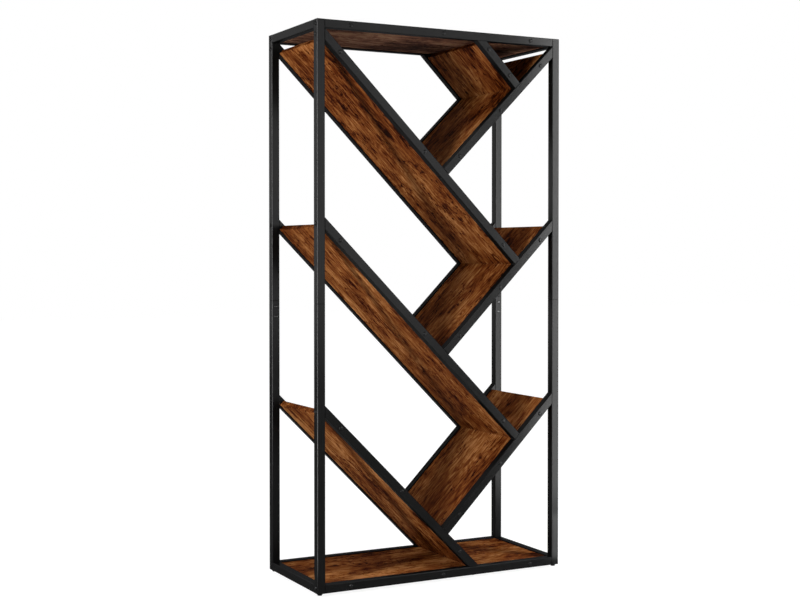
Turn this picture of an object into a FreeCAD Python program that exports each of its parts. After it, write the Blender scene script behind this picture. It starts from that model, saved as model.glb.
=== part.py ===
import FreeCAD
import Part
import Sketcher
import os
import re

# Tree bookshelf: a steel tube frame on four levelling feet, with seven slanting shelves at 45 degrees.
# Rules below give places from the frame's front left bottom corner: x right, y back, z up.
# The part's own origin is on the floor, under the middle of the frame.

SIZES = {
    # Frame, outside
    "frame_width": 700,
    "frame_depth": 305,
    "frame_height": 1390,
    # Square tube
    "tube_side": 21,
    "tube_wall": 1.2,
    "tube_corner": 1.2,
    "insert_gap": 0.1,
    # Boards
    "board_thickness": 15,
    "board_butt_gap": 0.5,
    # Post seam, its connector and the two screws below it
    "post_split": 703,
    "connector_above": 40,
    "connector_below": 60,
    "connector_wall": 1.5,
    "upper_screw_drop": 16,
    "lower_screw_drop": 42,
    "screw_shank": 5,
    "screw_head": 8.5,
    "screw_head_height": 2,
    "screw_bite": 4,
    # Bolts, and the plugs that they enter
    "bolt_shank": 6,
    "bolt_head": 10.5,
    "bolt_head_height": 2.5,
    "bolt_bite": 8,
    "bolt_clearance": 0.25,
    "drill_run_out": 0.5,
    "board_bolt_bite": 20,
    "board_bolt_inset": 69,
    "straight_plug_length": 20,
    "mitred_plug_length": 24,
    "top_plug_depth": 5,
    # Levelling feet
    "foot_height": 4.5,
    "foot_diameter": 12,
    "stud_diameter": 5.9,
    "stud_length": 10,
    "stud_clearance": 0.05,
    "stud_bolt_gap": 0.75,
}

TIERS = 3
UPPER_POST_BOLTS = 3
SHANK_SIDES = 6
HEAD_SIDES = 12
MITRE = 45
FALLING = 180 - MITRE
RISING = MITRE - 180
SIZE_NAME = re.compile(r"\b(" + "|".join(SIZES) + r")\b")
ACROSS_X = FreeCAD.Vector(1, 0, 0)
ACROSS_Y = FreeCAD.Vector(0, 1, 0)
ALONG_Z = FreeCAD.Vector(0, 0, 1)
NO_TURN = FreeCAD.Rotation()
HALF_TURN = FreeCAD.Rotation(ALONG_Z, 180)

# Rules that several pieces share
BORE = "(tube_side - 2 * tube_wall)"
INSERT_SIDE = f"({BORE} - 2 * insert_gap)"
TIER_PITCH = f"((frame_height - tube_side) / {TIERS})"
HALF_RISE = "(tube_side / sqrt(2))"
BOARD_RECESS = "((tube_side - board_thickness) / 2)"
BOARD_REACH = f"({BOARD_RECESS} - board_butt_gap)"
BOARD_DEPTH = "(frame_depth - 2 * tube_side)"
FRONT = "tube_side / 2"
REAR = "frame_depth - tube_side / 2"
TOP_RAIL = "frame_height - tube_side / 2"
BOTTOM_RAIL = "tube_side / 2"
FOOT_BOLT_RISE = "(stud_length + stud_bolt_gap + bolt_shank / 2 + bolt_clearance)"
DEPTHS = {"Front": FRONT, "Rear": REAR}
SIDES = {"Left": "tube_side / 2", "Right": "frame_width - tube_side / 2"}

doc = FreeCAD.newDocument("TreeBookshelf")
sheet = doc.addObject("Spreadsheet::Sheet", "Sizes")
nodes = []


def fill_sheet():
    """One row for each driving size."""
    for row, (name, size) in enumerate(SIZES.items(), start=1):
        sheet.set(f"A{row}", str(size))
        sheet.setAlias(f"A{row}", name)
    doc.recompute()


def formula(rule):
    """The rule with each size's name pointing at the sheet."""
    return SIZE_NAME.sub(r"Sizes.\1", rule)


def value(rule):
    """The rule worked out with the sheet's present sizes."""
    return float(sheet.evalExpression(formula(rule)))


def bind(target, **rules):
    """Tie properties of one object to rules."""
    for name, rule in rules.items():
        target.setExpression(name, formula(rule))


def turn(angle, axis=ACROSS_Y):
    return FreeCAD.Rotation(axis, angle)


def place(target, x, y, z, rotation=NO_TURN):
    """Put an object's own origin at a place in the frame, turned by a fixed angle."""
    target.Placement = FreeCAD.Placement(FreeCAD.Vector(), rotation)
    target.setExpression("Placement.Base.x", formula(f"{x} - frame_width / 2"))
    target.setExpression("Placement.Base.y", formula(f"{y} - frame_depth / 2"))
    target.setExpression("Placement.Base.z", formula(f"{z} + foot_height"))
    return target


def finish(target, label):
    """Name a finished sub-part and keep it for export."""
    target.Label = label
    nodes.append(target)
    return target


def origin_plane(body, role):
    return next(item for item in body.Origin.OriginFeatures if item.Role == role)


def outline(body, role, corners):
    """A closed sketch of straight lines through corners that are pairs of rules."""
    sketch = body.newObject("Sketcher::SketchObject", "Outline")
    sketch.AttachmentSupport = [(origin_plane(body, role), "")]
    sketch.MapMode = "FlatFace"
    points = [FreeCAD.Vector(value(across), value(along), 0) for across, along in corners]
    count = len(points)
    for index in range(count):
        sketch.addGeometry(Part.LineSegment(points[index], points[(index + 1) % count]), False)
    for index in range(count):
        sketch.addConstraint(Sketcher.Constraint("Coincident", index, 2, (index + 1) % count, 1))
    for index, rules in enumerate(corners):
        for kind, rule, size in zip(("DistanceX", "DistanceY"), rules, points[index]):
            row = sketch.addConstraint(Sketcher.Constraint(kind, -1, 1, index, 1, size))
            sketch.setExpression(f"Constraints[{row}]", formula(rule))
    return sketch


def bar(name, side, start, stop, start_slope=0, stop_slope=0):
    """A square bar along its own z, with ends cut square (slope 0) or mitred (slope 1 or -1)."""
    body = doc.addObject("PartDesign::Body", name)
    half = f"({side}) / 2"
    corners = [
        (f"-{half}", f"{start} - {start_slope} * {half}"),
        (half, f"{start} + {start_slope} * {half}"),
        (half, f"{stop} + {stop_slope} * {half}"),
        (f"-{half}", f"{stop} - {stop_slope} * {half}"),
    ]
    sketch = outline(body, "XZ_Plane", corners)
    pad = body.newObject("PartDesign::Pad", "Length")
    pad.Profile = sketch
    pad.SideType = "Symmetric"
    bind(pad, Length=side)
    doc.recompute()
    return body


def long_edges(shape):
    """Names of the edges that run along z."""
    names = []
    for index, edge in enumerate(shape.Edges, start=1):
        span = edge.BoundBox
        if span.ZLength > 2 * (span.XLength + span.YLength):
            names.append(f"Edge{index}")
    return names


def hollow(body, side, start, stop):
    """Bore a square hole through a bar, past both of its ends."""
    bore = body.newObject("PartDesign::SubtractiveBox", "Bore")
    bore.AttachmentSupport = [(origin_plane(body, "XY_Plane"), "")]
    bore.MapMode = "FlatFace"
    bind(bore, Length=side, Width=side, Height=f"{stop} - ({start}) + 2 * tube_side")
    bore.setExpression("AttachmentOffset.Base.x", formula(f"-({side}) / 2"))
    bore.setExpression("AttachmentOffset.Base.y", formula(f"-({side}) / 2"))
    bore.setExpression("AttachmentOffset.Base.z", formula(f"{start} - tube_side"))


def tube(name, start, stop, start_slope=0, stop_slope=0):
    """A length of the square tube, with its corners eased and its bore."""
    body = bar(name, "tube_side", start, stop, start_slope, stop_slope)
    pad = body.Tip
    easing = body.newObject("PartDesign::Chamfer", "Easing")
    easing.Base = (pad, long_edges(pad.Shape))
    bind(easing, Size="tube_corner")
    hollow(body, BORE, start, stop)
    doc.recompute()
    return body


def block(name, width, depth, start, height):
    """A plain board or block along its own z, centred in x, with its front face on its own origin."""
    body = doc.addObject("PartDesign::Body", name)
    box = body.newObject("PartDesign::AdditiveBox", "Block")
    box.AttachmentSupport = [(origin_plane(body, "XY_Plane"), "")]
    box.MapMode = "FlatFace"
    bind(box, Length=width, Width=depth, Height=height)
    box.setExpression("AttachmentOffset.Base.x", formula(f"-({width}) / 2"))
    box.setExpression("AttachmentOffset.Base.z", formula(start))
    return body


def rod(name, sides, radius, length):
    """A prism along its own z. Round pieces that repeat are rods with few sides, to keep the mesh light."""
    prism = doc.addObject("Part::Prism", name)
    prism.Polygon = sides
    bind(prism, Circumradius=radius, Height=length)
    return prism


def fastener(name, shank, head, head_height, length):
    """A head on a shank along its own z, with the seat under the head on its own origin."""
    head_part = rod(f"{name}_Head", HEAD_SIDES, f"{head} / 2", head_height)
    head_part.setExpression("Placement.Base.z", formula(f"-{head_height}"))
    whole = doc.addObject("Part::Fuse", name)
    whole.Base = head_part
    whole.Tool = rod(f"{name}_Shank", SHANK_SIDES, f"{shank} / 2", length)
    return whole


def drill(name, shank, length):
    """The space that a shank takes, from the face that its head sits on."""
    return rod(name, SHANK_SIDES, f"{shank} / 2 + bolt_clearance", f"{length} + drill_run_out")


def copy_at(master, seat):
    """A copy of a master piece at a seat, which is a place and a turn."""
    link = doc.addObject("App::Link", f"{master.Name}_Copy")
    link.LinkedObject = master
    return place(link, *seat)


def together(name, copies):
    """Separate solids as one object."""
    compound = doc.addObject("Part::Compound", name)
    compound.Links = copies
    return compound


def group(label, master, seats):
    """Copies of one piece as a single sub-part."""
    finish(together(label, [copy_at(master, seat) for seat in seats]), label)


def cut(name, base, tool):
    """One shape with another taken out of it."""
    result = doc.addObject("Part::Cut", name)
    result.Base = base
    result.Tool = tool
    return result


def drilled(name, blank, master, seats):
    """A blank with the drill's space taken out at each seat."""
    if not seats:
        return blank
    return cut(name, blank, together(f"{name}_Drills", [copy_at(master, seat) for seat in seats]))


class Diagonal:
    """One slanting shelf: where its axis starts, how far it runs sideways, and how its ends are cut."""

    def __init__(self, name, angle, x, z, run, start_slope, stop_slope=0):
        self.name = name
        self.angle = angle
        self.x = x
        self.z = z
        self.run = f"({run})"
        self.length = f"({self.run} * sqrt(2))"
        self.side = 1 if angle > 0 else -1
        self.start_slope = start_slope
        self.stop_slope = stop_slope

    def along(self, run):
        """The place on the axis after a sideways run from the start."""
        return f"{self.x} + {self.side} * ({run})", f"{self.z} - ({run})"

    def seat(self, run, depth, rotation):
        x, z = self.along(run)
        return x, depth, z, rotation


def post_level(tier):
    """Height at which a shelf's axis meets a post, counted down from the top tier."""
    return f"(frame_height - tube_side - {HALF_RISE} - {tier} * {TIER_PITCH})"


def list_diagonals():
    """The seven shelves. Each falls from its start; all lie on one 45 degree grid with the tier's pitch."""
    meeting = f"(({TIER_PITCH} + frame_width - {HALF_RISE}) / 2)"
    long_run = f"{meeting} - tube_side"
    rising_run = f"frame_width - tube_side - (frame_width + {HALF_RISE}) / 2"
    short_x = f"({TIER_PITCH} + tube_side - {HALF_RISE})"
    shelves = {}
    for tier, tier_name in enumerate(("Top", "Middle")):
        name = f"Falling_{tier_name}"
        shelves[name] = Diagonal(name, FALLING, "tube_side", post_level(tier), long_run, 1)
    level = post_level(TIERS - 1)
    name = "Falling_Bottom"
    shelves[name] = Diagonal(name, FALLING, "tube_side", level, f"{level} - tube_side", 1, -1)
    name = "Falling_Short"
    under_rail = "frame_height - tube_side"
    shelves[name] = Diagonal(name, FALLING, short_x, under_rail, f"{meeting} - {short_x}", -1)
    for tier, tier_name in enumerate(("Top", "Middle", "Bottom")):
        name = f"Rising_{tier_name}"
        right_x = "(frame_width - tube_side)"
        shelves[name] = Diagonal(name, RISING, right_x, post_level(tier), rising_run, -1)
    return shelves


# Which shelf's tube each square end butts on
CARRIED_BY = {
    "Falling_Top": "Rising_Middle",
    "Falling_Middle": "Rising_Bottom",
    "Falling_Short": "Rising_Top",
    "Rising_Top": "Falling_Top",
    "Rising_Middle": "Falling_Middle",
    "Rising_Bottom": "Falling_Bottom",
}


def butt_bolt_seat(shelf, depth):
    """On the far face of the carrying tube, pointing back up into the shelf's own end."""
    return shelf.seat(f"{shelf.run} + {HALF_RISE}", depth, turn(shelf.angle - 180))


def butt_plug_seat(shelf, depth):
    return shelf.seat(shelf.run, depth, turn(shelf.angle - 180))


def foot_bolt_seat(shelf, depth):
    """Under the bottom rail, pointing up into the lowest falling shelf's mitred foot."""
    return shelf.along(shelf.run)[0], depth, "0"


def foot_plug_seat(shelf, depth):
    return shelf.seat(shelf.run, depth, turn(shelf.angle - 180).multiply(HALF_TURN))


def post_plug_seat(shelf, depth):
    """In a shelf's mitred end at a post. The plug's own mitre has slope 1."""
    facing = NO_TURN if shelf.start_slope == 1 else HALF_TURN
    return shelf.seat("0", depth, turn(shelf.angle).multiply(facing))


def post_bolt_seats(side, depth):
    """Bolts through one post: the rails at top and bottom, and one shelf for each tier between them."""
    levels = [TOP_RAIL] + [post_level(tier) for tier in range(TIERS)] + [FOOT_BOLT_RISE]
    x = "0" if side == "Left" else "frame_width"
    angle = 90 if side == "Left" else -90
    return [(x, depth, level, turn(angle)) for level in levels]


def board_bolt_seats(end, height):
    """Three bolts in a row through a front or rear rail into the board behind it."""
    inset = "(tube_side + board_bolt_inset)"
    stations = (inset, "frame_width / 2", f"frame_width - {inset}")
    y = "0" if end == "Front" else "frame_depth"
    angle = -90 if end == "Front" else 90
    return [(x, y, height, turn(angle, ACROSS_X)) for x in stations]


def screw_seats(side_x, end):
    """Two screws below a post's seam, on the face that looks into the frame."""
    y = "tube_side" if end == "Front" else "frame_depth - tube_side"
    angle = 90 if end == "Front" else -90
    drops = ("upper_screw_drop", "lower_screw_drop")
    return [(side_x, y, f"post_split - {drop}", turn(angle, ACROSS_X)) for drop in drops]


def build_posts(bolt_drill, screw_drill):
    """Lower and upper lengths of each post, and the connector across each seam."""
    for side, x in SIDES.items():
        for end, depth in DEPTHS.items():
            corner = f"{end}_{side}"
            bolts = post_bolt_seats(side, depth)
            screws = screw_seats(x, end)
            lower = place(tube(f"Lower_{corner}_Blank", "0", "post_split"), x, depth, "0")
            screwed = drilled(f"Lower_{corner}_Screwed", lower, screw_drill, screws)
            bolted = drilled(f"Lower_{corner}_Bolted", screwed, bolt_drill, bolts[UPPER_POST_BOLTS:])
            finish(bolted, f"Post_{corner}_Lower")
            upper = place(tube(f"Upper_{corner}_Blank", "post_split", "frame_height"), x, depth, "0")
            bolted = drilled(f"Upper_{corner}_Bolted", upper, bolt_drill, bolts[:UPPER_POST_BOLTS])
            finish(bolted, f"Post_{corner}_Upper")
            first = "post_split - connector_below"
            last = "post_split + connector_above"
            inner = place(bar(f"Connector_{corner}_Blank", INSERT_SIDE, first, last), x, depth, "0")
            hollow(inner, f"({INSERT_SIDE} - 2 * connector_wall)", first, last)
            finish(drilled(f"Connector_{corner}", inner, screw_drill, screws), f"Post_Connector_{corner}")


def build_rails(bolt_drill, board_drill, lowest_shelf):
    """Four side rails and four long rails. The bottom ones also take the bolts of the lowest shelf's foot."""
    heights = {"Top": TOP_RAIL, "Bottom": BOTTOM_RAIL}
    for level, height in heights.items():
        for side, x in SIDES.items():
            rail = tube(f"Side_{side}_{level}", "0", BOARD_DEPTH)
            finish(place(rail, x, "tube_side", height, turn(-90, ACROSS_X)), f"Side_Rail_{side}_{level}")
        for end, depth in DEPTHS.items():
            label = f"Rail_{end}_{level}"
            rail = tube(f"{label}_Blank", "0", "frame_width - 2 * tube_side")
            place(rail, "tube_side", depth, height, turn(90))
            if level == "Bottom":
                rail = drilled(f"{label}_Footed", rail, bolt_drill, [foot_bolt_seat(lowest_shelf, depth)])
            finish(drilled(f"{label}_Bolted", rail, board_drill, board_bolt_seats(end, height)), label)


def build_level_boards(board_drill):
    """The top board and the bottom board, each inside its rectangle of rails."""
    for level, height in {"Top": TOP_RAIL, "Bottom": BOTTOM_RAIL}.items():
        length = "(frame_width - 2 * tube_side - 2 * board_butt_gap)"
        blank = block(f"{level}_Board_Blank", "board_thickness", BOARD_DEPTH, "0", length)
        place(blank, "tube_side + board_butt_gap", "tube_side", height, turn(90))
        seats = board_bolt_seats("Front", height) + board_bolt_seats("Rear", height)
        finish(drilled(f"{level}_Board_Bolted", blank, board_drill, seats), f"{level}_Board")


def build_diagonals(shelves, bolt_drill):
    """Front tube, rear tube and board of each slanting shelf."""
    corner_back = f"(board_thickness / 2 - {BOARD_REACH} * sqrt(2))"
    for name, shelf in shelves.items():
        carried = [other for other, carrier in CARRIED_BY.items() if carrier == name]
        for end, depth in DEPTHS.items():
            blank = tube(f"{name}_{end}_Blank", "0", shelf.length, shelf.start_slope, shelf.stop_slope)
            place(blank, shelf.x, depth, shelf.z, turn(shelf.angle))
            seats = [butt_bolt_seat(shelves[other], depth) for other in carried]
            finish(drilled(f"{name}_{end}_Bolted", blank, bolt_drill, seats), f"{name}_Tube_{end}")
        starts_at_post = name != "Falling_Short"
        post_start = "(board_butt_gap * sqrt(2) + board_thickness / 2)"
        start = post_start if starts_at_post else corner_back
        stop = f"{shelf.length} + {BOARD_REACH}" if name in CARRIED_BY else f"{shelf.length} - {corner_back}"
        board = block(f"{name}_Block", "board_thickness", BOARD_DEPTH, start, f"{stop} - {start}")
        finish(place(board, shelf.x, "tube_side", shelf.z, turn(shelf.angle)), f"{name}_Board")


def build_bolts(shelves):
    """Every bolt and screw, as groups of like ones."""
    bolt = fastener("Bolt", "bolt_shank", "bolt_head", "bolt_head_height", "tube_side + bolt_bite")
    for side in SIDES:
        seats = [seat for depth in DEPTHS.values() for seat in post_bolt_seats(side, depth)]
        group(f"Post_Bolts_{side}", bolt, seats)
    lattice = [butt_bolt_seat(shelves[name], depth) for name in CARRIED_BY for depth in DEPTHS.values()]
    feet = [foot_bolt_seat(shelves["Falling_Bottom"], depth) for depth in DEPTHS.values()]
    group("Shelf_Joint_Bolts", bolt, lattice + feet)
    long_bolt = fastener(
        "Long_Bolt", "bolt_shank", "bolt_head", "bolt_head_height", "tube_side + board_bolt_bite"
    )
    heights = (TOP_RAIL, BOTTOM_RAIL)
    rows = [seat for end in DEPTHS for height in heights for seat in board_bolt_seats(end, height)]
    group("Board_Bolts", long_bolt, rows)
    screw = fastener("Screw", "screw_shank", "screw_head", "screw_head_height", "screw_bite")
    pairs = [seat for x in SIDES.values() for end in DEPTHS for seat in screw_seats(x, end)]
    group("Connector_Screws", screw, pairs)


def threaded(name, blank, rise="0", rotation=NO_TURN):
    """A plug with the hole that a bolt's end enters, in the plug's own frame."""
    bore = drill(f"{name}_Bore", "bolt_shank", "bolt_bite")
    bore.Placement = FreeCAD.Placement(FreeCAD.Vector(), rotation)
    bore.setExpression("Placement.Base.x", formula(rise))
    return cut(name, blank, bore)


def build_plugs(shelves):
    """Threaded plugs in the tube ends that bolts enter, and the plugs that close the posts' tops."""
    straight_blank = bar("Straight_Plug_Blank", INSERT_SIDE, "0", "straight_plug_length")
    straight = threaded("Straight_Plug", straight_blank)
    raised = threaded("Raised_Plug", straight_blank, f"{FOOT_BOLT_RISE} - {BOTTOM_RAIL}")
    mitred_blank = bar("Mitred_Plug_Blank", INSERT_SIDE, "0", "mitred_plug_length", start_slope=1)
    mitred = threaded("Mitred_Plug", mitred_blank, rotation=turn(-MITRE))
    plugs = []
    for depth in DEPTHS.values():
        for plug, height in ((straight, TOP_RAIL), (raised, BOTTOM_RAIL)):
            plugs.append(copy_at(plug, ("tube_side", depth, height, turn(90).multiply(HALF_TURN))))
            plugs.append(copy_at(plug, ("frame_width - tube_side", depth, height, turn(-90))))
        for name in CARRIED_BY:
            plugs.append(copy_at(straight, butt_plug_seat(shelves[name], depth)))
    finish(together("Straight_Plugs", plugs), "Straight_End_Plugs")
    at_posts = [shelf for shelf in shelves.values() if shelf.name != "Falling_Short"]
    mitred_ends = [post_plug_seat(shelf, depth) for shelf in at_posts for depth in DEPTHS.values()]
    mitred_feet = [foot_plug_seat(shelves["Falling_Bottom"], depth) for depth in DEPTHS.values()]
    group("Mitred_End_Plugs", mitred, mitred_ends + mitred_feet)
    top_plug = bar("Top_Plug", INSERT_SIDE, "-top_plug_depth", "0")
    tops = [(x, depth, "frame_height") for x in SIDES.values() for depth in DEPTHS.values()]
    group("Post_Top_Plugs", top_plug, tops)


def build_feet():
    """Levelling feet, each a pad on a stud, and the sockets in the posts that the studs run in."""
    socket_bore = doc.addObject("Part::Cylinder", "Socket_Bore")
    bind(socket_bore, Radius="stud_diameter / 2 + stud_clearance", Height="stud_length")
    socket = cut("Socket", bar("Socket_Blank", INSERT_SIDE, "0", "stud_length"), socket_bore)
    corners = {f"{end}_{side}": (x, depth) for side, x in SIDES.items() for end, depth in DEPTHS.items()}
    group("Foot_Sockets", socket, [(x, depth, "0") for x, depth in corners.values()])
    pad_radius = "foot_diameter / 2"
    stud_radius = "stud_diameter / 2"
    profile = [
        ("0", "0"),
        (pad_radius, "0"),
        (pad_radius, "foot_height"),
        (stud_radius, "foot_height"),
        (stud_radius, "foot_height + stud_length"),
        ("0", "foot_height + stud_length"),
    ]
    for corner, (x, depth) in corners.items():
        body = doc.addObject("PartDesign::Body", f"Foot_{corner}")
        sketch = outline(body, "XZ_Plane", profile)
        turned = body.newObject("PartDesign::Revolution", "Turned")
        turned.Profile = sketch
        turned.ReferenceAxis = (sketch, ["V_Axis"])
        finish(place(body, x, depth, "-foot_height"), f"Levelling_Foot_{corner}")


def check_and_export():
    """Stop at any failed object or bad solid, then write one file for each sub-part."""
    doc.recompute()
    failed = [item.Label for item in doc.Objects if {"Invalid", "Error"} & set(item.State)]
    bad = [node.Label for node in nodes if node.Shape.isNull() or not node.Shape.isValid()]
    if failed or bad:
        raise RuntimeError(f"failed objects {failed}, bad shapes {bad}")
    os.makedirs("parts", exist_ok=True)
    for node in nodes:
        node.Shape.exportStep(f"parts/{node.Label}.step")
        print(f"{node.Label}: {len(node.Shape.Solids)} solids, {node.Shape.Volume:.0f} mm3")
    print(f"{len(nodes)} nodes")


fill_sheet()
diagonals = list_diagonals()
through_drill = drill("Bolt_Drill", "bolt_shank", "tube_side + bolt_bite")
long_drill = drill("Long_Bolt_Drill", "bolt_shank", "tube_side + board_bolt_bite")
short_drill = drill("Screw_Drill", "screw_shank", "screw_bite")
build_posts(through_drill, short_drill)
build_rails(through_drill, long_drill, diagonals["Falling_Bottom"])
build_level_boards(long_drill)
build_diagonals(diagonals, through_drill)
build_bolts(diagonals)
build_plugs(diagonals)
build_feet()
check_and_export()
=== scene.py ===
import math

import bmesh
import bpy
from mathutils import Matrix, Vector


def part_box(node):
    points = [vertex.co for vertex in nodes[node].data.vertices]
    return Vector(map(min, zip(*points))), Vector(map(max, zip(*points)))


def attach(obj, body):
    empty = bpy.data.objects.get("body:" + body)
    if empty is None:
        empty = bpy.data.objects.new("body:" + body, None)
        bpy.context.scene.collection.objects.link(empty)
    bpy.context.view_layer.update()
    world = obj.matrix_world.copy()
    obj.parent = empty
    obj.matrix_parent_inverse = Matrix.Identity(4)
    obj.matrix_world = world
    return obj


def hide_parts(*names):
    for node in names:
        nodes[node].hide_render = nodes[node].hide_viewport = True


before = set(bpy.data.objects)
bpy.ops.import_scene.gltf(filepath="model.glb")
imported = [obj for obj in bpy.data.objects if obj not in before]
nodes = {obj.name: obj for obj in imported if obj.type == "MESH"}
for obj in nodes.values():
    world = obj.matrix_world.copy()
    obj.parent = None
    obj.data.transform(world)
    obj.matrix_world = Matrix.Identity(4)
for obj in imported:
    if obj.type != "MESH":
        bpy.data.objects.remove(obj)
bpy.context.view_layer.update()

# Lengths are in metres and angles in degrees, unless a comment says otherwise.

# The camera, fitted to the photograph: almost level, with its lens shifted down.
# The lens and the sensor are in millimetres.
CAMERA_PLACE = (-1.6999, -3.1425, 0.8304)
CAMERA_YAW = 27.777
CAMERA_TILT = -0.967
CAMERA_LENS = 61.226
CAMERA_SENSOR = 36
CAMERA_SHIFT = -0.030

# Soft rectangular lamps: place, target, width, height and power in watts
LAMPS = {
    "Strip_Left": ((-2.36, -1.06, 1.0), (-0.35, -0.15, 0.8), 0.20, 1.9, 72),
    "Strip_Right": ((0.74, -0.74, 0.87), (0.34, -0.15, 0.87), 0.11, 1.7, 20),
    "Panel_Front": ((1.1, -2.6, 1.2), (0, -0.15, 1.0), 1.1, 1.6, 32),
    "Panel_Back": ((-1.6, 2.6, 1.2), (-0.35, 0, 1.0), 1.1, 1.6, 20),
}
# Strips that show in glossy surfaces alone, as light edges and faces of the posts
GLOSS_STRIPS = {
    "Edge_Low": ((-0.578, -0.253, 0.20), (-0.35, -0.15, 0.20), 0.022, 0.40, 1.7),
    "Edge_Rear": ((-2.36, -0.72, 1.0), (-0.35, 0.13, 0.8), 0.20, 1.9, 72),
    "Face_Low": ((0.396, -0.233, 0.06), (0.34, -0.15, 0.06), 0.0155, 0.12, 0.155),
    "Face_Rear": ((0.748, -0.523, 0.87), (0.34, 0.13, 0.87), 0.11, 1.7, 10),
}
# Light from all sides and from above, where one would show a surface in its own colour
WORLD_LEVEL = 0.16
OVERHEAD_LEVEL = 0.35
OVERHEAD_SPREAD = 60

# The floor: half its side, its grey, and the glow that makes it white where it is seen
WHITE = (1, 1, 1, 1)
FLOOR_REACH = 14
FLOOR_GREY = (0.6, 0.6, 0.6, 1)
FLOOR_GLOW = 1.38
FLOOR_GLOW_SHARE = 0.65

# Sizes shared with the frame
HALF_WIDTH = 0.350
HALF_DEPTH = 0.1525
TUBE_SIDE = 0.021
FOOT_TRAVEL = 0.006
SLANTS = {"Falling": -45, "Rising": 45}

# Edges that are rounded: those sharper than an angle, and by what width
BOARD_ROUNDS = ((25, 0.0008),)
TUBE_ROUNDS = ((60, 0.0007), (25, 0.0002))
ROUND_SEGMENTS = 2
JOIN_DISTANCE = 0.00002

# Domed heads: the dome as shares of the head's radius and height, and a hexagon socket in its top
HEAD_RADIUS = 0.00525
HEAD_HEIGHT = 0.0025
HEAD_SEGMENTS = 24
DOME = ((1.0, 0.0), (1.0, 0.24), (0.95, 0.48), (0.82, 0.74), (0.62, 0.93), (0.46, 1.0))
SOCKET_SHARE = 0.30
SOCKET_DEPTH = 0.24
# Shanks are this share of the plain ones' radius, and taper at the tip by shares of their own
SHANK_SHARE = 0.85
TIP_SHARE = 0.8
TIP_LENGTH_SHARE = 0.2
# Points of a plain fastener belong to one ring where their places agree to this many digits
RING_DIGITS = 6
# Faces below this area, in square metres, are shaded smooth
LARGEST_SMOOTH_FACE = 0.000004

# Where bolts go through the slanting tubes into the boards: distance from the frame's left side
SHELF_BOLTS = {
    "Falling_Top": (0.062, 0.296, 0.528),
    "Falling_Middle": (0.062, 0.296, 0.528),
    "Falling_Bottom": (0.063, 0.230, 0.398),
    "Falling_Short": (0.483, 0.546),
    "Rising_Top": (0.397, 0.5185, 0.641),
    "Rising_Middle": (0.397, 0.5185, 0.641),
    "Rising_Bottom": (0.397, 0.5185, 0.641),
}

# Black coats: the ground's colour, the film's weight and roughness, and how fine the grain is
TUBE_COAT = {"ground": 0.0028, "film": 0.043, "roughness": 0.24, "grain": 1100}
FASTENER_COAT = {"ground": 0.0030, "film": 0.070, "roughness": 0.22, "grain": 1600}
SCREW_COAT = {"ground": 0.0030, "film": 0.40, "roughness": 0.45, "grain": 1600}
PLASTIC_COAT = {"ground": 0.0040, "film": 0.040, "roughness": 0.40, "grain": 2200}
COAT_PATCH_SCALE = 14
COAT_PATCH_SPAN = (0.35, 0.65)
COAT_PATCH_SHADES = (0.8, 1.2)
COAT_DULL_SPAN = (0.6, 1.4)
COAT_DULLNESS = (0.6, 0.75)
COAT_BUMP = {"Strength": 0.12, "Distance": 0.0002}
FILM_IOR = 2.0

# Bare steel: its marks, and its colours and roughness where they are low and high
STEEL_STRETCH = (1, 1, 0.05)
STEEL_SCALE = 900
STEEL_SPAN = (0.3, 0.7)
STEEL_COLOURS = ((0.38, 0.38, 0.39), (0.52, 0.52, 0.53))
STEEL_ROUGHNESS = (0.3, 0.45)

# The wood's layers of noise: factor along the grain (below one draws out), scale, detail, roughness
WOOD_LAYERS = {
    "flow": (0.28, 8, 2, 0.55),
    "broad": (0.42, 10, 3, 0.55),
    "streaks": (0.20, 110, 6, 0.70),
    "fibres": (0.05, 560, 2, 0.60),
    "field": (0.22, 13, 2.5, 0.45),
    "blotches": (0.40, 29, 6, 0.70),
    "marks": (0.55, 150, 3, 0.60),
    "worn": (0.60, 17, 3, 0.55),
}
# The span of values that counts in each of the wood's features
WOOD_SPANS = {
    "flow": (0.30, 0.70),
    "broad": (0.36, 0.64),
    "rings": (0.0, 0.5),
    "streaks": (0.34, 0.66),
    "fibres": (0.32, 0.68),
    "blotches": (0.53, 0.66),
    "flecks": (0.55, 0.64),
    "worn": (0.46, 0.62),
    "ragged": (0.35, 0.65),
    "ends": (0.80, 0.95),
    # Faces that look down far enough to take the painted shade and painted grey reflection
    "underside_shade": (-0.95, -0.80),
}
# The wood's tone: its broad range, how far features swing it, and how far they darken it
BROAD_TONES = (0.36, 0.84)
TONE_SWINGS = {"rings": 0.11, "streaks": 0.30, "fibres": 0.10}
TONE_DROPS = {"blotches": 0.44, "flecks": 0.80, "cores": 0.50, "ends": 0.16}
RING_COUNT = 26
RING_FOLD = 0.5
# Knots: how they are scattered, how far and how strongly the grain parts, and their dark cores
KNOT_STRETCH = (0.42, 1, 0)
KNOT_SCALE = 5.5
KNOT_REACH = 0.060
KNOT_FALL = 2
KNOT_PARTING = -0.9
KNOT_CORE = (0.003, 0.010)
KNOT_RAGGED = 0.004
GRAIN_SWAY = 0.010
# The step from one board's piece of wood to the next one's
BOARD_STEP = (1.7, 0.61, 0.37)
WOOD_COLOURS = (
    (0.00, (0.008, 0.0015, 0.0004)),
    (0.22, (0.043, 0.0080, 0.0012)),
    (0.46, (0.108, 0.0290, 0.0062)),
    (0.72, (0.195, 0.0680, 0.0175)),
    (1.00, (0.340, 0.1500, 0.0520)),
)
# Painted shade and painted grey reflection on faces that look straight down: the share of
# saturation and of value kept there
UNDERSIDE_SHADE_SATURATION = 0.78
UNDERSIDE_SHADE_VALUE = 0.66
WOOD_BUMP = {"Strength": 0.25, "Distance": 0.0004}
WOOD_ROUGHNESS = (0.78, 0.60)
WOOD_FILM = 0.015
WOOD_FILM_ROUGHNESS = 0.40


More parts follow.
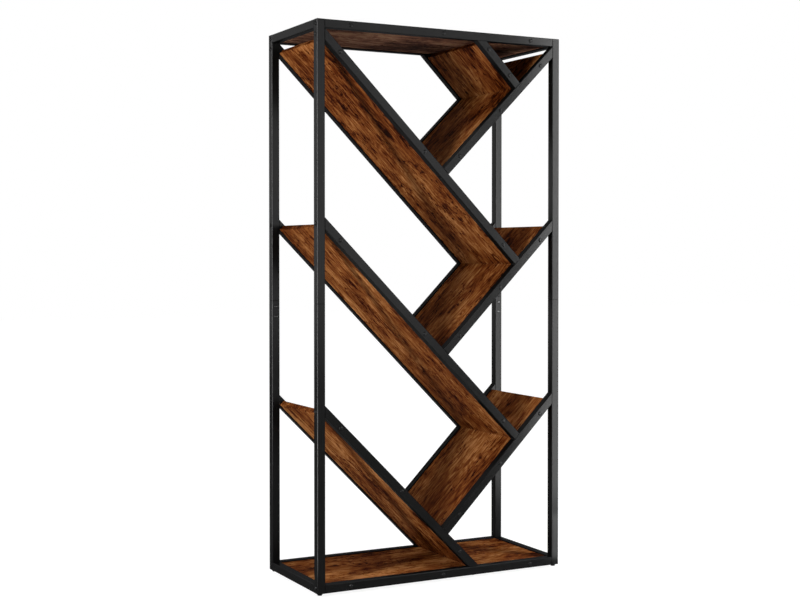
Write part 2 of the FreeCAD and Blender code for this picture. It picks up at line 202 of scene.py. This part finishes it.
class Graph:
    """The node tree of a material or a world. A setting that is a node's socket becomes a link."""

    def __init__(self, owner):
        self.owner = owner
        owner.use_nodes = True
        self.tree = owner.node_tree
        self.tree.nodes.clear()

    def add(self, kind, sockets=None, **properties):
        made = self.tree.nodes.new("ShaderNode" + kind)
        for name, setting in properties.items():
            setattr(made, name, setting)
        for name, setting in (sockets or {}).items():
            if isinstance(setting, bpy.types.NodeSocket):
                self.tree.links.new(setting, made.inputs[name])
            else:
                made.inputs[name].default_value = setting
        return made

    def math(self, operation, *values):
        return self.add("Math", dict(enumerate(values)), operation=operation).outputs[0]

    def vector_math(self, operation, *values, result="Vector"):
        """A vector from vectors, or a number where the result is Value."""
        made = self.add("VectorMath", dict(enumerate(values)), operation=operation)
        return made.outputs[result]

    def noise(self, vector, scale, detail, roughness=0.55):
        sockets = {"Vector": vector, "Scale": scale, "Detail": detail, "Roughness": roughness}
        return self.add("TexNoise", sockets).outputs["Fac"]

    def span(self, value, low, high, to_low=0.0, to_high=1.0):
        """The value's range moved to another range, held at its ends."""
        sockets = {"From Min": low, "From Max": high, "To Min": to_low, "To Max": to_high}
        return self.add("MapRange", {"Value": value, **sockets}).outputs["Result"]

    def ramp(self, value, stops):
        """Colours between stops, each a place and a colour."""
        made = self.add("ValToRGB", {"Fac": value})
        elements = made.color_ramp.elements
        while len(elements) < len(stops):
            elements.new(0.5)
        for element, (place, colour) in zip(elements, stops):
            element.position = place
            element.color = (*colour, 1)
        return made.outputs["Color"]

    def object_place(self):
        return self.add("TexCoord").outputs["Object"]

    def seen(self):
        """One where the camera looks, also by gloss or through glass, and zero for other light."""
        rays = self.add("LightPath").outputs
        looked_at = self.math("MAXIMUM", rays["Is Camera Ray"], rays["Is Glossy Ray"])
        return self.math("MAXIMUM", looked_at, rays["Is Transmission Ray"])

    def finish(self, shader, output="OutputMaterial"):
        self.add(output, {"Surface": shader.outputs[0]})
        return self.owner

    def finish_filmed(self, colour, dullness, bump, film, film_roughness):
        """A dull ground under a thin satin film."""
        shader = self.add(
            "BsdfPrincipled",
            {
                "Base Color": colour,
                "Roughness": dullness,
                "Specular IOR Level": 0.0,
                "Normal": bump,
                "Coat Weight": film,
                "Coat IOR": FILM_IOR,
                "Coat Roughness": film_roughness,
                "Coat Normal": bump,
            },
        )
        return self.finish(shader)


def powder_coat(name, ground, film, roughness, grain):
    """Black coating with a faint orange-peel grain under a thin satin film."""
    graph = Graph(bpy.data.materials.new(name))
    place = graph.object_place()
    patches = graph.noise(place, COAT_PATCH_SCALE, detail=4)
    peel = graph.noise(place, grain, detail=2)
    shades = [[share * ground] * 3 for share in COAT_PATCH_SHADES]
    colour = graph.ramp(patches, list(zip(COAT_PATCH_SPAN, shades)))
    dullness = graph.span(graph.math("ADD", patches, peel), *COAT_DULL_SPAN, *COAT_DULLNESS)
    bump = graph.add("Bump", {"Height": peel, **COAT_BUMP}).outputs[0]
    return graph.finish_filmed(colour, dullness, bump, film, roughness)


def plain_metal(name):
    """Bare rolled steel with faint lengthwise marks."""
    graph = Graph(bpy.data.materials.new(name))
    drawn_out = graph.vector_math("MULTIPLY", graph.object_place(), STEEL_STRETCH)
    marks = graph.noise(drawn_out, STEEL_SCALE, detail=3)
    shader = graph.add(
        "BsdfPrincipled",
        {
            "Base Color": graph.ramp(marks, list(zip(STEEL_SPAN, STEEL_COLOURS))),
            "Metallic": 1.0,
            "Roughness": graph.span(marks, *STEEL_SPAN, *STEEL_ROUGHNESS),
        },
    )
    return graph.finish(shader)


def wood_layer(graph, place, name):
    """One of the wood's layers of noise, drawn out along the grain."""
    factor, scale, detail, roughness = WOOD_LAYERS[name]
    drawn_out = graph.vector_math("MULTIPLY", place, (factor, 1, 1))
    return graph.noise(drawn_out, scale, detail, roughness)


def wood_span(graph, value, name, to_low=0.0, to_high=1.0):
    """The values that count in one of the wood's features, moved to another range."""
    return graph.span(value, *WOOD_SPANS[name], to_low, to_high)


def knots(graph, along):
    """Scattered knots: distance from the nearest one, and offset from it across the grain."""
    flat = graph.vector_math("MULTIPLY", along, KNOT_STRETCH)
    cells = graph.add("TexVoronoi", {"Vector": flat, "Scale": KNOT_SCALE}, voronoi_dimensions="2D")
    away = graph.vector_math("SUBTRACT", flat, cells.outputs["Position"])
    distance = graph.vector_math("LENGTH", away, result="Value")
    across = graph.add("SeparateXYZ", {0: away}).outputs["Y"]
    return distance, across


def bent_grain(graph, along, distance, across):
    """Places in the board, moved so that its grain sways and parts round the knots."""
    near = graph.math("POWER", graph.span(distance, 0.0, KNOT_REACH, 1.0, 0.0), KNOT_FALL)
    parted = graph.math("MULTIPLY", graph.math("MULTIPLY", across, near), KNOT_PARTING)
    sway = wood_span(graph, wood_layer(graph, along, "flow"), "flow", -GRAIN_SWAY, GRAIN_SWAY)
    bend = graph.add("CombineXYZ", {"Y": graph.math("ADD", parted, sway)}).outputs[0]
    return graph.vector_math("ADD", along, bend)


def wood_tone(graph, along, facing, turn):
    """How light the wood is: knots, ring lines, streaks, fibres, flecks, blotches and end faces."""
    distance, across = knots(graph, along)
    grain = bent_grain(graph, along, distance, across)
    field = wood_layer(graph, grain, "field")
    swings = {
        "rings": graph.math("PINGPONG", graph.math("MULTIPLY", field, RING_COUNT), RING_FOLD),
        "streaks": wood_layer(graph, grain, "streaks"),
        "fibres": wood_layer(graph, grain, "fibres"),
    }
    marks = wood_layer(graph, grain, "marks")
    worn = wood_span(graph, wood_layer(graph, along, "worn"), "worn")
    rough_edge = wood_span(graph, marks, "ragged", -KNOT_RAGGED, KNOT_RAGGED)
    slope = math.radians(turn)
    grain_line = (math.cos(slope), 0, math.sin(slope))
    lengthwise = graph.vector_math("DOT_PRODUCT", facing, grain_line, result="Value")
    drops = {
        "blotches": wood_span(graph, wood_layer(graph, grain, "blotches"), "blotches"),
        "flecks": graph.math("MULTIPLY", wood_span(graph, marks, "flecks"), worn),
        "cores": graph.span(graph.math("ADD", distance, rough_edge), *KNOT_CORE, 1.0, 0.0),
        "ends": wood_span(graph, graph.math("ABSOLUTE", lengthwise), "ends"),
    }
    tone = wood_span(graph, wood_layer(graph, grain, "broad"), "broad", *BROAD_TONES)
    for name, swing in TONE_SWINGS.items():
        tone = graph.math("ADD", tone, wood_span(graph, swings[name], name, -swing, swing))
    for name, drop in TONE_DROPS.items():
        tone = graph.math("SUBTRACT", tone, graph.math("MULTIPLY", drops[name], drop))
    return tone


def painted_downward_shade(graph, colour, facing):
    """The colour with painted shade and a painted grey reflection on faces that look straight down,
    which makes it darker and greyer there.
    """
    upward = graph.add("SeparateXYZ", {0: facing}).outputs["Z"]
    # How far a face looks down, which sets how much painted shade and painted grey reflection it
    # takes
    underside_shade = wood_span(graph, upward, "underside_shade", 1.0, 0.0)
    sockets = {
        "Saturation": graph.span(underside_shade, 0.0, 1.0, 1.0, UNDERSIDE_SHADE_SATURATION),
        "Value": graph.span(underside_shade, 0.0, 1.0, 1.0, UNDERSIDE_SHADE_VALUE),
        "Color": colour,
    }
    return graph.add("HueSaturation", sockets).outputs["Color"]


def rustic_wood(name, turn, offset):
    """Brown board whose grain runs along X, turned about Y."""
    graph = Graph(bpy.data.materials.new(name))
    turned = {"Location": offset, "Rotation": (0, math.radians(turn), 0)}
    along = graph.add("Mapping", {"Vector": graph.object_place(), **turned}).outputs[0]
    facing = graph.add("NewGeometry").outputs["Normal"]
    tone = wood_tone(graph, along, facing, turn)
    # The colour, with painted shade and a painted grey reflection on the faces that look down
    colour = painted_downward_shade(graph, graph.ramp(tone, WOOD_COLOURS), facing)
    dullness = graph.span(tone, 0.0, 1.0, *WOOD_ROUGHNESS)
    bump = graph.add("Bump", {"Height": tone, **WOOD_BUMP}).outputs[0]
    return graph.finish_filmed(colour, dullness, bump, WOOD_FILM, WOOD_FILM_ROUGHNESS)


def dress(node, material):
    """Give a frame node its material."""
    slots = nodes[node].data.materials
    slots.clear()
    slots.append(material)


def round_edges(node, rounds):
    """Join the node's faces along their edges, then round those that are sharper than an angle."""
    weld = nodes[node].modifiers.new("Join", "WELD")
    weld.merge_threshold = JOIN_DISTANCE
    for angle, width in rounds:
        bevel = nodes[node].modifiers.new("Round", "BEVEL")
        bevel.width = width
        bevel.segments = ROUND_SEGMENTS
        bevel.limit_method = "ANGLE"
        bevel.angle_limit = math.radians(angle)


def dress_frame():
    """Materials for every node of the frame, rounded edges, and domed heads for its fasteners."""
    tube = powder_coat("black_powder_coat", **TUBE_COAT)
    fastener = powder_coat("black_fastener_coat", **FASTENER_COAT)
    screw = powder_coat("black_screw_coat", **SCREW_COAT)
    plastic = powder_coat("black_plastic", **PLASTIC_COAT)
    steel = plain_metal("plain_steel")
    boards = 0
    for name in sorted(nodes):
        if name.endswith("_Board"):
            boards += 1
            turn = SLANTS.get(name.split("_")[0], 0)
            offset = [boards * step for step in BOARD_STEP]
            dress(name, rustic_wood(f"rustic_{name.lower()}", turn, offset))
            round_edges(name, BOARD_ROUNDS)
        elif name.startswith("Post_Connector"):
            dress(name, steel)
        elif name.endswith(("_Bolts", "_Bolts_Left", "_Bolts_Right", "_Screws")):
            coat = screw if name.endswith("_Screws") else fastener
            dress(name, coat)
            add_round_heads(name, coat)
        elif name.startswith("Levelling_Foot") or name.endswith(("_Plugs", "_Sockets")):
            dress(name, plastic)
        else:
            dress(name, tube)
            round_edges(name, TUBE_ROUNDS)
    add_shelf_bolts(fastener)


def lathe(mesh, place, outline, segments):
    """Rings of points round a place's own Z, one for each radius and height, joined in turn."""
    rings = []
    for radius, height in outline:
        ring = []
        for step in range(segments):
            angle = 2 * math.pi * step / segments
            reach = radius(angle) if callable(radius) else radius
            point = Vector((reach * math.cos(angle), reach * math.sin(angle), height))
            ring.append(mesh.verts.new(place @ point))
        rings.append(ring)
    for lower, upper in zip(rings, rings[1:]):
        for step in range(segments):
            after = (step + 1) % segments
            mesh.faces.new((lower[step], lower[after], upper[after], upper[step]))
    mesh.faces.new(list(reversed(rings[0])))
    mesh.faces.new(rings[-1])


def round_head(mesh, place, radius, height, shank=()):
    """A domed head with a shallow hexagon socket, along its place's own Z with its seat at 0."""

    def hexagon(angle):
        sixth = math.pi / 3
        from_flat = (angle + sixth / 2) % sixth - sixth / 2
        return SOCKET_SHARE * radius / math.cos(from_flat)

    outline = [*shank, *((wide * radius, tall * height) for wide, tall in DOME)]
    outline += [(hexagon, height), (hexagon, (1 - SOCKET_DEPTH) * height)]
    lathe(mesh, place, outline, HEAD_SEGMENTS)


def add_fasteners(name, mesh, material):
    """Turn a mesh of fasteners into a piece of the frame."""
    data = bpy.data.meshes.new(name)
    mesh.to_mesh(data)
    mesh.free()
    for face in data.polygons:
        face.use_smooth = face.area < LARGEST_SMOOTH_FACE
    data.materials.append(material)
    piece = bpy.data.objects.new(name, data)
    bpy.context.scene.collection.objects.link(piece)
    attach(piece, "frame")
    return piece


def separate_solids(node):
    """The points of each separate solid in a frame node."""
    mesh = bmesh.new()
    mesh.from_mesh(nodes[node].data)
    bmesh.ops.remove_doubles(mesh, verts=mesh.verts, dist=JOIN_DISTANCE)
    mesh.verts.index_update()
    seen = set()
    solids = []
    for start in mesh.verts:
        if start.index in seen:
            continue
        seen.add(start.index)
        front = [start]
        points = []
        while front:
            point = front.pop()
            points.append(point.co.copy())
            for edge in point.link_edges:
                other = edge.other_vert(point)
                if other.index not in seen:
                    seen.add(other.index)
                    front.append(other)
        solids.append(points)
    mesh.free()
    return solids


def add_round_heads(node, material):
    """Domed fasteners in the places of a node's plain ones, with their sizes and lengths."""
    mesh = bmesh.new()
    for points in separate_solids(node):
        low = Vector([min(point[axis] for point in points) for axis in range(3)])
        high = Vector([max(point[axis] for point in points) for axis in range(3)])
        middle = (low + high) / 2
        axis = max(range(3), key=lambda number: high[number] - low[number])
        radii = {}
        for point in points:
            across = point - middle
            across[axis] = 0
            radii.setdefault(round(point[axis], RING_DIGITS), []).append(across.length)
        stations = sorted(radii)
        if max(radii[stations[0]]) > max(radii[stations[-1]]):
            stations.reverse()
        tip, seat, top = stations[0], stations[-2], stations[-1]
        head_radius = max(radii[top])
        shank_radius = SHANK_SHARE * max(radii[tip])
        length = abs(seat - tip)
        shank = [
            (TIP_SHARE * shank_radius, -length),
            (shank_radius, TIP_LENGTH_SHARE * shank_radius - length),
            (shank_radius, 0),
        ]
        outward = Vector((0, 0, 0))
        outward[axis] = math.copysign(1, top - seat)
        spot = middle.copy()
        spot[axis] = seat
        place = Matrix.Translation(spot) @ outward.to_track_quat("Z", "Y").to_matrix().to_4x4()
        round_head(mesh, place, head_radius, abs(top - seat), shank)
    piece = add_fasteners(f"{node}_Domed", mesh, material)
    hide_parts(node)


def shelf_axis_height(shelf, across):
    """Height of a slanting tube's axis at a distance from the frame's left side."""
    low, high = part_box(f"{shelf}_Tube_Front")
    x = across - HALF_WIDTH
    half_rise = TUBE_SIDE / math.sqrt(2)
    if shelf.startswith("Rising"):
        return high.z - half_rise - (high.x - x)
    if shelf == "Falling_Short":  # cut level at its upper end, where the others are cut upright
        return high.z + half_rise - (x - low.x)
    return high.z - half_rise - (x - low.x)


def add_shelf_bolts(material):
    """The bolts that hold the slanting boards, front and rear."""
    for end, depth, lean in (("Front", -HALF_DEPTH, 90), ("Rear", HALF_DEPTH, -90)):
        for shelf, stations in SHELF_BOLTS.items():
            mesh = bmesh.new()
            for across in stations:
                spot = Vector((across - HALF_WIDTH, depth, shelf_axis_height(shelf, across)))
                place = Matrix.Translation(spot) @ Matrix.Rotation(math.radians(lean), 4, "X")
                round_head(mesh, place, HEAD_RADIUS, HEAD_HEIGHT)
            add_fasteners(f"{shelf}_Bolts_{end}", mesh, material)


def add_floor():
    """A pale floor, white where it is seen, with a faint shadow. It is as low as the feet reach."""
    data = bpy.data.meshes.new("Floor")
    quarters = ((-1, -1), (1, -1), (1, 1), (-1, 1))
    corners = [(x * FLOOR_REACH, y * FLOOR_REACH, -FOOT_TRAVEL) for x, y in quarters]
    data.from_pydata(corners, [], [(0, 1, 2, 3)])
    floor = bpy.data.objects.new("Floor", data)
    bpy.context.scene.collection.objects.link(floor)
    graph = Graph(bpy.data.materials.new("pale_floor"))
    share = graph.math("MULTIPLY", graph.seen(), FLOOR_GLOW_SHARE)
    paint = graph.add("BsdfDiffuse", {"Color": FLOOR_GREY})
    glow = graph.add("Emission", {"Color": WHITE, "Strength": FLOOR_GLOW})
    mixed = graph.add("MixShader", {0: share, 1: paint.outputs[0], 2: glow.outputs[0]})
    data.materials.append(graph.finish(mixed))


def add_world():
    """Even light on the object, and white wherever the background is seen."""
    world = bpy.data.worlds.new("Studio")
    bpy.context.scene.world = world
    graph = Graph(world)
    level = graph.span(graph.seen(), 0.0, 1.0, WORLD_LEVEL, 1.0)
    background = graph.add("Background", {"Color": WHITE, "Strength": level})
    graph.finish(background, "OutputWorld")


def add_lamp(name, place, target, width, height, power, only_gloss=False):
    """A soft lamp that looks at a target. It lights everything, or shows in gloss alone."""
    data = bpy.data.lights.new(name, "AREA")
    data.shape = "RECTANGLE"
    data.size = width
    data.size_y = height
    data.energy = power
    lamp = bpy.data.objects.new(name, data)
    bpy.context.scene.collection.objects.link(lamp)
    lamp.location = place
    lamp.rotation_euler = (Vector(target) - Vector(place)).to_track_quat("-Z", "Y").to_euler()
    lamp.visible_camera = False
    lamp.visible_diffuse = not only_gloss


def add_overhead_lamp():
    """Even, very soft light from above."""
    data = bpy.data.lights.new("Overhead", "SUN")
    data.energy = OVERHEAD_LEVEL * math.pi
    data.angle = math.radians(OVERHEAD_SPREAD)
    lamp = bpy.data.objects.new("Overhead", data)
    bpy.context.scene.collection.objects.link(lamp)


def add_camera():
    """The photograph's camera. A camera without any turn looks straight down."""
    data = bpy.data.cameras.new("Camera")
    data.sensor_fit = "HORIZONTAL"
    data.sensor_width = CAMERA_SENSOR
    data.lens = CAMERA_LENS
    data.shift_y = CAMERA_SHIFT
    camera = bpy.data.objects.new("Camera", data)
    camera.location = CAMERA_PLACE
    camera.rotation_euler = (math.radians(90 + CAMERA_TILT), 0, math.radians(-CAMERA_YAW))
    bpy.context.scene.collection.objects.link(camera)
    bpy.context.scene.camera = camera


bpy.context.scene.view_settings.view_transform = "Standard"
add_camera()
add_floor()
add_world()
for lamp_name, settings in LAMPS.items():
    add_lamp(lamp_name, *settings)
for lamp_name, settings in GLOSS_STRIPS.items():
    add_lamp(lamp_name, *settings, only_gloss=True)
add_overhead_lamp()
dress_frame()
